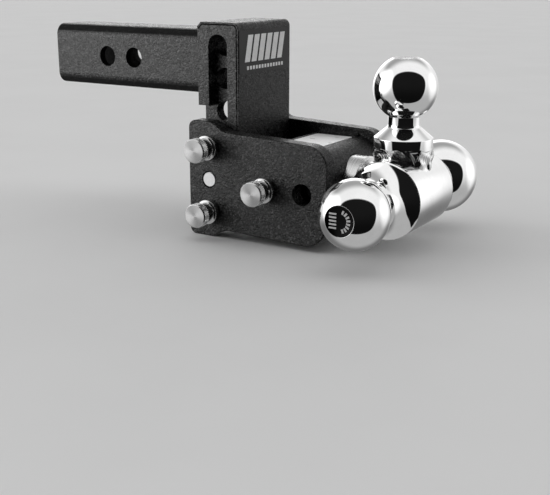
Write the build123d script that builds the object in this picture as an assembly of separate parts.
from build123d import *
import math
import os

os.makedirs("parts", exist_ok=True)

# Adjustable trailer hitch with three towing balls.
# Origin: centre of the rear hitch pin bore. +X runs along the shank towards the balls, +Z is up,
# and -Y is the side that the pins are pulled out on. All sizes are in millimetres.

# Shank: a square steel tube that slides into the vehicle's receiver.
SHANK_SIZE = 50.4
SHANK_WALL = 6.35
SHANK_CORNER = 9.4
SHANK_REAR = -57.5
SHANK_END_CHAMFER = 1.5
HITCH_PIN_R = 8.35
HITCH_PIN_PITCH = 28.3
WELD_LEG = 5.0
WELD_TOE = 0.2

# Post: two drilled webs, two slotted guide rails, and a face plate that wraps over the top.
POST_X = 103.0
POST_DEPTH = 38.1
POST_HALF = 38.1
POST_TOP = 32.0
POST_BOTTOM = -127.0
POST_FRONT = POST_X + POST_DEPTH
POST_NOSE_R = 5.5
POST_HEEL_CHAMFER = 3.5
FACE_THICK = 8.0
LIP_THICK = 1.2
LIP_GAP = 0.6
LIP_EDGE = 0.5
RAIL_THICK = 10.0
RAIL_EDGE = 0.7
WEB_THICK = 9.5
RAIL_INNER = POST_HALF - RAIL_THICK
WEB_INNER = RAIL_INNER - WEB_THICK
SLOT_X = POST_X + 19.05
SLOT_HALF = 8.35
SLOT_ARCH_Z = 14.2
REAR_LEG_BOTTOM = -32.0
HOLE_PITCH = 25.4
HOLE_COUNT = 6
WEB_HOLE_R = 8.25
BACKING_THICK = 9.5
DECAL_THICK = 0.3
DECAL_WIDTH = 2 * POST_HALF - 2.0
DECAL_CORNER = 1.0
DECAL_LOW, DECAL_HIGH = -6.4, 26.2

# Carriage: two side plates either side of the post, joined by the tube that holds the ball shaft.
PLATE_THICK = 12.7
PLATE_GAP = 1.0
PLATE_INNER = POST_HALF + PLATE_GAP
PLATE_OUTER = PLATE_INNER + PLATE_THICK
PLATE_FRONT = POST_X + 123.6
PLATE_EDGE = 1.0
EAR_MID_Z = -87.4
EAR_HALF = 45.6
EAR_WIDTH = 22.0
EAR_TOP_R, EAR_BOTTOM_R = 6.0, 5.0
EAR_SHOULDER_R = 14.0
NOSE_START = POST_X + 33.0
NOSE_TOP_START, NOSE_TOP, NOSE_TOP_R = -49.1, -53.0, 17.0
NOSE_BOTTOM_START, NOSE_BOTTOM, NOSE_BOTTOM_R = -126.7, -129.9, 19.0
PIN_HOLE_R = 8.35
UPPER_PIN_Z = -62.0
LOWER_PIN_Z = UPPER_PIN_Z - 2 * HOLE_PITCH
BALL_PIN_X = POST_X + 70.5
BALL_PIN_Z = -89.6
SPARE_HOLE_X = BALL_PIN_X + 32.0
STUD_R = 5.9
STUD_RING = 0.8
STUD_RING_DEPTH = 3.0
STUD_SETBACK = 1.0
STUD_CHAMFER = 0.5

# Three-ball mount: a shaft, a cross body, a ball at each end of it and one on top.
BALLS_X = POST_X + 159.5
BALLS_Z = -91.4
HOUSING_REAR = POST_X + 49.0
HOUSING_FRONT = POST_X + 121.5
HOUSING_HEIGHT = 66.0
HOUSING_WALL = 6.35
HOUSING_CORNER = 18.0
HOUSING_WELD = 4.0
LABEL_THICK = 0.3
LABEL_MARGIN = 2.0
LABEL_CORNER = 2.0
SHAFT_R = 25.4
SHAFT_BORE_R = 25.9
SHAFT_REAR = HOUSING_REAR + 1.0
SHAFT_END = POST_X + 133.0
SHAFT_WELD_R = 22.0
SHAFT_CHAMFER = 2.0
CROSS_HOLE_R = 10.4
BODY_R = 29.0
BODY_HALF = 32.0
BODY_EDGE = 0.8
BALL_SPACING = 77.0
NECK_STRAIGHT = 8.0
TOP_BALL_Z = -12.0
TOP_POST_R = 18.8
TOP_WELD_R = 21.4
TOP_FLANGE_R = 22.0
TOP_FLANGE_UNDER = -57.3
TOP_FLANGE_Z = -48.5
TOP_FLANGE_EDGE = 0.6
TOP_CONE_R = 13.2
TOP_CONE_Z = -41.3

# Ball sizes: sphere radius, radius of the flat end, neck radius.
SMALL_BALL = dict(r=23.8, flat=10.5, neck=11.9)
MEDIUM_BALL = dict(r=25.4, flat=11.2, neck=17.5)
LARGE_BALL = dict(r=29.35, flat=11.8, neck=19.0)

# Pins: one turned piece each, with a sprung ball in the tip that stops it from sliding out.
PIN_R = 7.94
PIN_TIP_Y = 64.0
PIN_TIP_CHAMFER = 2.0
FLANGE_R = 9.6
FLANGE_THICK = 4.6
FLANGE_EDGE = 0.7
WAIST_R = 7.6
WAIST_FLARE = 1.0
GRIP_START = 13.4
GRIP_END = 20.3
GRIP_R = 9.4
GRIP_EDGE = 0.6
DETENT_Y = PLATE_OUTER + 3.6
DETENT_BALL_R = 2.5
DETENT_SHOW = 1.2
DETENT_BORE_R = 2.6
DETENT_MOUTH_R = 2.41
DETENT_LIP = 0.5
DETENT_FLOOR = -3.2
SPRING_WIRE_R = 0.25
SPRING_COIL_R = 1.9
SPRING_TURNS = 6
SPRING_GAP = 0.05
SPRING_SEAT = 0.3


def slab(sketch, y_low, y_high):
    """Solid of an (X, Z) sketch between two Y levels."""
    plane = Plane((0, y_high, 0), x_dir=(1, 0, 0), z_dir=(0, -1, 0))
    return extrude(plane * sketch, y_high - y_low)


def side_slab(sketch, side, inner, outer):
    """Solid of an (X, Z) sketch on one side of the centre plane; side is -1 or +1."""
    return slab(sketch, *sorted((side * inner, side * outer)))


def rod(r, length):
    """Cylinder that stands on the XY plane."""
    return Cylinder(r, length, align=(Align.CENTER, Align.CENTER, Align.MIN))


def rod_x(r, x0, x1, y=0.0, z=0.0):
    return Pos(x0, y, z) * Rot(0, 90, 0) * rod(r, x1 - x0)


def rod_y(r, y0, y1, x=0.0, z=0.0):
    return Pos(x, y0, z) * Rot(-90, 0, 0) * rod(r, y1 - y0)


def rod_z(r, z0, z1, x=0.0, y=0.0):
    return Pos(x, y, z0) * rod(r, z1 - z0)


def rounded_outline(corners):
    """Closed face from (x, z, radius) corners, each one rounded by its radius."""
    points = [(x, z) for x, z, _ in corners]
    face = make_face(Polyline(*points, close=True))
    for x, z, radius in corners:
        if radius:
            vertex = face.vertices().sort_by_distance((x, z, 0))[0]
            face = fillet(vertex, radius)
    return face


def round_rims(plate, radius):
    """Round the outer edges of a plate that stands across Y, on both its faces."""
    faces = plate.faces().sort_by(Axis.Y)
    rims = faces[0].outer_wire().edges() + faces[-1].outer_wire().edges()
    return fillet(rims, radius)


def save(name, shape):
    shape.label = name
    export_step(shape, f"parts/{name}.step")


# ---------------------------------------------------------------- shank

def tube_section(width, height, corner, wall):
    outer = RectangleRounded(width, height, corner)
    return outer - RectangleRounded(width - 2 * wall, height - 2 * wall, corner - wall)


def make_shank():
    section = tube_section(SHANK_SIZE, SHANK_SIZE, SHANK_CORNER, SHANK_WALL)
    tube = extrude(Plane.YZ.offset(SHANK_REAR) * section, POST_X - SHANK_REAR)
    outer_rim = tube.faces().sort_by(Axis.X)[0].outer_wire().edges()
    tube = chamfer(outer_rim, SHANK_END_CHAMFER)
    for x in (0, HITCH_PIN_PITCH):
        tube -= rod_y(HITCH_PIN_R, -SHANK_SIZE, SHANK_SIZE, x)
    return tube


def make_shank_weld():
    """Fillet weld that runs round the shank where it meets the post."""
    toe, root = SHANK_SIZE + 2 * WELD_TOE, SHANK_SIZE + 2 * WELD_LEG
    start = Plane.YZ.offset(POST_X - WELD_LEG) * RectangleRounded(toe, toe, SHANK_CORNER)
    end = Plane.YZ.offset(POST_X) * RectangleRounded(root, root, SHANK_CORNER + WELD_LEG)
    core = RectangleRounded(SHANK_SIZE, SHANK_SIZE, SHANK_CORNER)
    return loft([start, end]) - extrude(Plane.YZ.offset(POST_X - 2 * WELD_LEG) * core, 3 * WELD_LEG)


# ---------------------------------------------------------------- post

def post_profile(inset, rear=0.0, bottom=0.0):
    """Side outline of the post, inset from its front and top."""
    front, top = POST_FRONT - inset, POST_TOP - inset
    heel = POST_HEEL_CHAMFER - inset * (math.sqrt(2) - 1)
    x0, low = POST_X - rear, POST_BOTTOM - bottom
    outline = make_face(Polyline(
        (x0, low), (front, low), (front, top), (POST_X + heel + inset, top),
        (x0, top - (POST_X + heel + inset - x0)), close=True,
    ))
    nose = outline.vertices().sort_by_distance((front, top, 0))[0]
    return fillet(nose, max(POST_NOSE_R - inset, 0.5))


def make_face_plate():
    """Front and top plate: thick between the rails, with a thin lip over each rail."""
    outside = post_profile(0)
    hollow_front, hollow_top = POST_FRONT - FACE_THICK, POST_TOP - FACE_THICK
    hollow = Rectangle(POST_DEPTH, POST_TOP - POST_BOTTOM, align=(Align.MAX, Align.MAX))
    thick = slab(outside - Pos(hollow_front, hollow_top) * hollow, -RAIL_INNER, RAIL_INNER)
    lips = slab(outside - post_profile(LIP_THICK, 30, 5), -POST_HALF, POST_HALF)
    wrap = thick + lips
    front_edges = wrap.edges().filter_by(Axis.Z).group_by(Axis.X)[-1]
    return fillet(front_edges, LIP_EDGE)


def make_rail(side):
    """Inverted U with a long front leg, a short rear leg and an arched slot between them."""
    rail = side_slab(post_profile(LIP_THICK + LIP_GAP), side, RAIL_INNER, POST_HALF)
    slot_length = SLOT_ARCH_Z - POST_BOTTOM + 10
    slot = Pos(SLOT_X, SLOT_ARCH_Z - slot_length / 2) * Rectangle(2 * SLOT_HALF, slot_length)
    slot += Pos(SLOT_X, SLOT_ARCH_Z) * Circle(SLOT_HALF)
    below_leg = REAR_LEG_BOTTOM - POST_BOTTOM + 10
    below = Pos(POST_X, REAR_LEG_BOTTOM - below_leg / 2) * Rectangle(2 * (SLOT_X - POST_X), below_leg)
    rail -= side_slab(slot + below, side, RAIL_INNER - 1, POST_HALF + 1)
    outer_face = rail.faces().sort_by(Axis.Y)[-1 if side > 0 else 0]
    return fillet(outer_face.outer_wire().edges(), RAIL_EDGE)


def make_web(side):
    width, height = POST_DEPTH - FACE_THICK, POST_TOP - FACE_THICK - POST_BOTTOM
    plate = Pos(POST_X, POST_BOTTOM) * Rectangle(width, height, align=(Align.MIN, Align.MIN))
    for i in range(HOLE_COUNT):
        plate -= Pos(SLOT_X, SLOT_ARCH_Z - i * HOLE_PITCH) * Circle(WEB_HOLE_R)
    return side_slab(plate, side, WEB_INNER, RAIL_INNER)


def make_backing_plate():
    low, high = -SHANK_SIZE / 2 - WELD_LEG, SHANK_SIZE / 2 - WELD_LEG
    sketch = Pos(POST_X + BACKING_THICK / 2, (low + high) / 2) * Rectangle(BACKING_THICK, high - low)
    return slab(sketch, -WEB_INNER, WEB_INNER)


def make_decal():
    """Thin sticker across the top of the front face."""
    sticker = RectangleRounded(DECAL_WIDTH, DECAL_HIGH - DECAL_LOW, DECAL_CORNER)
    sketch = Pos(0, (DECAL_LOW + DECAL_HIGH) / 2) * sticker
    return extrude(Plane.YZ.offset(POST_FRONT) * sketch, DECAL_THICK)


# ---------------------------------------------------------------- carriage

def plate_outline():
    """Side plate: two ears that carry the height pins and a rounded nose round the housing."""
    ear_top, ear_bottom = EAR_MID_Z + EAR_HALF, EAR_MID_Z - EAR_HALF
    ear_front = POST_X + EAR_WIDTH
    return rounded_outline([
        (POST_X, ear_top, EAR_TOP_R),
        (ear_front, ear_top, EAR_SHOULDER_R),
        (NOSE_START, NOSE_TOP_START, EAR_SHOULDER_R),
        (PLATE_FRONT, NOSE_TOP, NOSE_TOP_R),
        (PLATE_FRONT, NOSE_BOTTOM, NOSE_BOTTOM_R),
        (NOSE_START, NOSE_BOTTOM_START, EAR_SHOULDER_R),
        (ear_front, ear_bottom, EAR_SHOULDER_R),
        (POST_X, ear_bottom, EAR_BOTTOM_R),
    ])


def make_side_plate(side):
    plate = round_rims(side_slab(plate_outline(), side, PLATE_INNER, PLATE_OUTER), PLATE_EDGE)
    height_holes = [(SLOT_X, UPPER_PIN_Z), (SLOT_X, LOWER_PIN_Z)]
    ball_mount_holes = [(BALL_PIN_X, BALL_PIN_Z), (SPARE_HOLE_X, BALL_PIN_Z)]
    for x, z in height_holes + ball_mount_holes:
        plate -= rod_y(PIN_HOLE_R, -2 * PLATE_OUTER, 2 * PLATE_OUTER, x, z)
    plate -= rod_y(STUD_R, -2 * PLATE_OUTER, 2 * PLATE_OUTER, SLOT_X, EAR_MID_Z)
    ring_y = sorted((side * (PLATE_OUTER - STUD_RING_DEPTH), side * 2 * PLATE_OUTER))
    return plate - rod_y(STUD_R + STUD_RING, *ring_y, SLOT_X, EAR_MID_Z)


def make_guide_stud(side):
    """Stud pressed into the side plate; its inner end runs in the rail's slot."""
    ends = sorted((side * (RAIL_INNER + STUD_SETBACK), side * PLATE_OUTER))
    stud = rod_y(STUD_R, *ends, SLOT_X, EAR_MID_Z)
    return chamfer(stud.edges().filter_by(GeomType.CIRCLE), STUD_CHAMFER)


def make_housing():
    length = HOUSING_FRONT - HOUSING_REAR
    section = tube_section(length, HOUSING_HEIGHT, HOUSING_CORNER, HOUSING_WALL)
    section = Pos((HOUSING_FRONT + HOUSING_REAR) / 2, BALLS_Z) * section
    return slab(section, -PLATE_INNER, PLATE_INNER) - rod_x(
        SHAFT_BORE_R, HOUSING_REAR - 5, HOUSING_FRONT + 5, 0, BALLS_Z
    )


def make_housing_welds():
    """Fillet welds along the top and bottom of the housing, where it meets each side plate."""
    beads = []
    length = HOUSING_FRONT - HOUSING_REAR - 2 * HOUSING_CORNER
    for side in (-1, 1):
        for up in (-1, 1):
            y, z = side * PLATE_INNER, BALLS_Z + up * HOUSING_HEIGHT / 2
            corner = make_face(Polyline(
                (y, z), (y - side * HOUSING_WELD, z), (y, z + up * HOUSING_WELD), close=True
            ))
            start = HOUSING_REAR + HOUSING_CORNER
            beads.append(extrude(Plane.YZ.offset(start) * corner, length))
    return Compound(children=beads)


def make_label():
    """Thin sticker on the flat top of the housing."""
    length = HOUSING_FRONT - HOUSING_REAR - 2 * HOUSING_CORNER - 2 * LABEL_MARGIN
    width = 2 * PLATE_INNER - 4 * HOUSING_WELD
    label = extrude(RectangleRounded(length, width, LABEL_CORNER), LABEL_THICK)
    return Pos((HOUSING_FRONT + HOUSING_REAR) / 2, 0, BALLS_Z + HOUSING_HEIGHT / 2) * label


# ---------------------------------------------------------------- three-ball mount

def turned(outline, axis_plane):
    """Revolve a closed (radius, height) outline of lines and arcs about the plane's own Y axis."""
    face = axis_plane * make_face(outline)
    return revolve(face, Axis(axis_plane.origin, axis_plane.y_dir))


def side_plane(side):
    """Radius along +X and height along the cross body's axis, towards one side."""
    return Plane((BALLS_X, 0, BALLS_Z), x_dir=(1, 0, 0), z_dir=(0, 0, side))


def make_side_ball(ball, side):
    """Ball, neck and flared root that meets the end of the cross body."""
    r, flat, neck = ball["r"], ball["flat"], ball["neck"]
    neck_top = BALL_SPACING - math.sqrt(r * r - neck * neck)
    flat_at = BALL_SPACING + math.sqrt(r * r - flat * flat)
    root = BODY_R - BODY_EDGE
    flare = neck_top - NECK_STRAIGHT
    run, rise = flare - BODY_HALF, root - neck
    bend = (run * run + rise * rise) / (2 * rise)
    half_turn = math.asin(run / bend) / 2
    mid = (neck + bend * (1 - math.cos(half_turn)), flare - bend * math.sin(half_turn))
    outline = [
        Line((0, BODY_HALF), (root, BODY_HALF)),
        ThreePointArc((root, BODY_HALF), mid, (neck, flare)),
        Line((neck, flare), (neck, neck_top)),
        ThreePointArc((neck, neck_top), (r, BALL_SPACING), (flat, flat_at)),
        Line((flat, flat_at), (0, flat_at)),
        Line((0, flat_at), (0, BODY_HALF)),
    ]
    return turned(outline, side_plane(side))


def make_body():
    body = rod_y(BODY_R, -BODY_HALF, BODY_HALF, BALLS_X, BALLS_Z)
    return chamfer(body.edges().filter_by(GeomType.CIRCLE), BODY_EDGE)


def make_top_ball():
    """Small ball on its neck, flange and post; the post is coped to sit on the cross body."""
    r, flat, neck = SMALL_BALL["r"], SMALL_BALL["flat"], SMALL_BALL["neck"]
    neck_top = TOP_BALL_Z - math.sqrt(r * r - neck * neck)
    flat_at = TOP_BALL_Z + math.sqrt(r * r - flat * flat)
    slope = math.atan2(TOP_FLANGE_R - TOP_CONE_R, TOP_CONE_Z - TOP_FLANGE_Z)
    bend = (TOP_CONE_R - neck) / (1 - math.cos(slope))
    neck_foot = TOP_CONE_Z + bend * math.sin(slope)
    mid = (neck + bend * (1 - math.cos(slope / 2)), neck_foot - bend * math.sin(slope / 2))
    under_r, rim = TOP_FLANGE_R - TOP_FLANGE_EDGE, TOP_FLANGE_UNDER + TOP_FLANGE_EDGE
    outline = [
        Line((0, BALLS_Z), (TOP_POST_R, BALLS_Z)),
        Line((TOP_POST_R, BALLS_Z), (TOP_POST_R, TOP_FLANGE_UNDER)),
        Line((TOP_POST_R, TOP_FLANGE_UNDER), (under_r, TOP_FLANGE_UNDER)),
        Line((under_r, TOP_FLANGE_UNDER), (TOP_FLANGE_R, rim)),
        Line((TOP_FLANGE_R, rim), (TOP_FLANGE_R, TOP_FLANGE_Z)),
        Line((TOP_FLANGE_R, TOP_FLANGE_Z), (TOP_CONE_R, TOP_CONE_Z)),
        ThreePointArc((TOP_CONE_R, TOP_CONE_Z), mid, (neck, neck_foot)),
        Line((neck, neck_foot), (neck, neck_top)),
        ThreePointArc((neck, neck_top), (r, TOP_BALL_Z), (flat, flat_at)),
        Line((flat, flat_at), (0, flat_at)),
        Line((0, flat_at), (0, BALLS_Z)),
    ]
    plane = Plane((BALLS_X, 0, 0), x_dir=(1, 0, 0), z_dir=(0, -1, 0))
    return turned(outline, plane) - rod_y(BODY_R, -BODY_HALF, BODY_HALF, BALLS_X, BALLS_Z)


def make_top_weld():
    """Bead that fills the saddle between the ball's flange and the cross body."""
    ring = rod_z(TOP_WELD_R, BALLS_Z + BODY_R / 2, TOP_FLANGE_UNDER, BALLS_X)
    ring -= rod_y(BODY_R, -BODY_HALF - 1, BODY_HALF + 1, BALLS_X, BALLS_Z)
    return ring - rod_z(TOP_POST_R, BALLS_Z, TOP_FLANGE_UNDER + 1, BALLS_X)


def make_shaft():
    """Round shaft, cross-drilled at both pin positions and drilled upright too at the one in use,
    so that there it locks at every quarter turn."""
    shaft = rod_x(SHAFT_R, SHAFT_REAR, SHAFT_END, 0, BALLS_Z)
    shaft = chamfer(shaft.edges().filter_by(GeomType.CIRCLE), SHAFT_CHAMFER)
    shaft -= rod_y(BODY_R, -BODY_HALF, BODY_HALF, BALLS_X, BALLS_Z)
    for x in (BALL_PIN_X, SPARE_HOLE_X):
        shaft -= rod_y(CROSS_HOLE_R, -2 * SHAFT_R, 2 * SHAFT_R, x, BALLS_Z)
    return shaft - rod_z(CROSS_HOLE_R, BALLS_Z - 2 * SHAFT_R, BALLS_Z + 2 * SHAFT_R, BALL_PIN_X)


def make_shaft_weld():
    """Weld metal in the gaps above and below, between the shaft's flat end and the round body."""
    fill = rod_x(SHAFT_WELD_R, SHAFT_END, BALLS_X, 0, BALLS_Z)
    fill -= rod_y(BODY_R, -BODY_HALF, BODY_HALF, BALLS_X, BALLS_Z)
    fill &= rod_x(SHAFT_R, SHAFT_END, BALLS_X - BODY_R / 2, 0, BALLS_Z)
    return fill - rod_z(TOP_WELD_R, BALLS_Z, TOP_FLANGE_UNDER, BALLS_X)


# ---------------------------------------------------------------- pins

def make_pin(x, z):
    """Pin with a flange that rests on the side plate, a waist and a grip; drilled for its detent."""
    face = -PLATE_OUTER
    flange_end, grip_start, grip_end = face - FLANGE_THICK, face - GRIP_START, face - GRIP_END
    profile = make_face(Polyline(
        (0, PIN_TIP_Y), (PIN_R - PIN_TIP_CHAMFER, PIN_TIP_Y), (PIN_R, PIN_TIP_Y - PIN_TIP_CHAMFER),
        (PIN_R, face),
        (FLANGE_R - FLANGE_EDGE, face), (FLANGE_R, face - FLANGE_EDGE),
        (FLANGE_R, flange_end + FLANGE_EDGE), (FLANGE_R - FLANGE_EDGE, flange_end),
        (WAIST_R, flange_end - WAIST_FLARE), (WAIST_R, grip_start + WAIST_FLARE),
        (GRIP_R - GRIP_EDGE, grip_start), (GRIP_R, grip_start - GRIP_EDGE),
        (GRIP_R, grip_end + GRIP_EDGE), (GRIP_R - GRIP_EDGE, grip_end),
        (0, grip_end), close=True,
    ))
    pin = Pos(x, 0, z) * revolve(profile, Axis.Y)
    crown = z + PIN_R
    pin -= rod_z(DETENT_BORE_R, z + DETENT_FLOOR, crown - DETENT_LIP, x, DETENT_Y)
    return pin - rod_z(DETENT_MOUTH_R, z, crown + 1, x, DETENT_Y)


def detent_centre():
    """Height of the detent ball's centre above its pin's axis."""
    return PIN_R + DETENT_SHOW - DETENT_BALL_R


def make_detent_ball(x, z):
    return Pos(x, DETENT_Y, z + detent_centre()) * Sphere(DETENT_BALL_R)


def make_detent_spring(x, z):
    """Coil between the floor of the bore and the underside of the ball."""
    low = DETENT_FLOOR + SPRING_WIRE_R + SPRING_GAP
    high = detent_centre() - DETENT_BALL_R + SPRING_SEAT
    height = high - low
    helix = Helix(height / SPRING_TURNS, height, SPRING_COIL_R, center=(0, 0, low))
    wire = sweep(Plane(helix @ 0, z_dir=helix % 0) * Circle(SPRING_WIRE_R), path=helix)
    return Pos(x, DETENT_Y, z) * wire


# ---------------------------------------------------------------- write every node

save("shank_tube", make_shank())
save("shank_weld", make_shank_weld())
save("post_face_plate", make_face_plate())
save("post_backing_plate", make_backing_plate())
save("post_decal", make_decal())
save("ball_housing", make_housing())
save("housing_welds", make_housing_welds())
save("housing_label", make_label())
save("ball_shaft", make_shaft())
save("ball_cross_body", make_body())
save("shaft_weld", make_shaft_weld())
save("small_ball", make_top_ball())
save("small_ball_weld", make_top_weld())
save("medium_ball", make_side_ball(MEDIUM_BALL, -1))
save("large_ball", make_side_ball(LARGE_BALL, 1))

for side_name, side in (("near", -1), ("far", 1)):
    save(f"{side_name}_web_plate", make_web(side))
    save(f"{side_name}_guide_rail", make_rail(side))
    save(f"{side_name}_side_plate", make_side_plate(side))
    save(f"{side_name}_guide_stud", make_guide_stud(side))

for pin_name, x, z in (
    ("upper_height_pin", SLOT_X, UPPER_PIN_Z),
    ("lower_height_pin", SLOT_X, LOWER_PIN_Z),
    ("ball_pin", BALL_PIN_X, BALL_PIN_Z),
):
    save(pin_name, make_pin(x, z))
    save(f"{pin_name}_detent_ball", make_detent_ball(x, z))
    save(f"{pin_name}_detent_spring", make_detent_spring(x, z))
